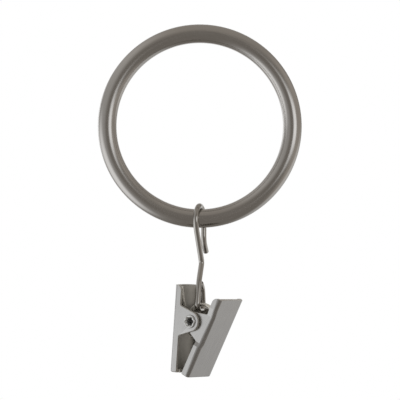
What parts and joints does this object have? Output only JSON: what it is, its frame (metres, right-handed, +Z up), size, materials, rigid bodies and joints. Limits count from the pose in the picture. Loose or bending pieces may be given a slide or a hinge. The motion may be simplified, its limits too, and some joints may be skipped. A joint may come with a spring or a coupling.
{
  "type": "curtain ring with clip",
  "caption": "Round metal curtain ring with a wire drop hook and a sprung stamped-metal clip that grips the curtain's top edge.",
  "frame": {"origin": "centre of the ring, where the curtain rod's axis runs", "axes": "+Y along the ring's axis and the rod, +Z up, the hook and clip hanging towards -Z"},
  "size_m": [0.0516, 0.0162, 0.089],
  "materials": {
    "ring_metal": "dark pewter, satin, faint brushing along the bar",
    "wire_metal": "plated wire, fairly bright",
    "clip_metal": "satin nickel plate",
    "eyelet_metal": "nickel plate, smooth",
    "spring_metal": "plated spring wire"
  },
  "bodies": {
    "ring": {"ring": "ring_metal"},
    "hook": {"drop_hook": "wire_metal"},
    "clip": {"front_jaw": "clip_metal", "pivot_eyelet": "eyelet_metal", "torsion_spring": "spring_metal"},
    "rear_jaw": {"rear_jaw": "clip_metal"}
  },
  "joints": [
    {"name": "hook_swing", "type": "hinge", "parent": "ring", "child": "hook", "pos_m": [0, 0, -0.02337], "axis": [1, 0, 0], "range_deg": [-80, 80]},
    {"name": "clip_swing", "type": "hinge", "parent": "hook", "child": "clip", "pos_m": [0.00008, 0.00029, -0.04652], "axis": [0.6018, 0.7986, 0], "range_deg": [-26, 16]},
    {"name": "jaw_open", "type": "hinge", "parent": "clip", "child": "rear_jaw", "pos_m": [0.00052, -0.00004, -0.04924], "axis": [-0.6018, -0.7986, 0], "range_deg": [0, 30], "stiffness_Nm_per_rad": 0.05, "springref_deg": -20.05, "deforming": ["torsion_spring"]}
  ]
}
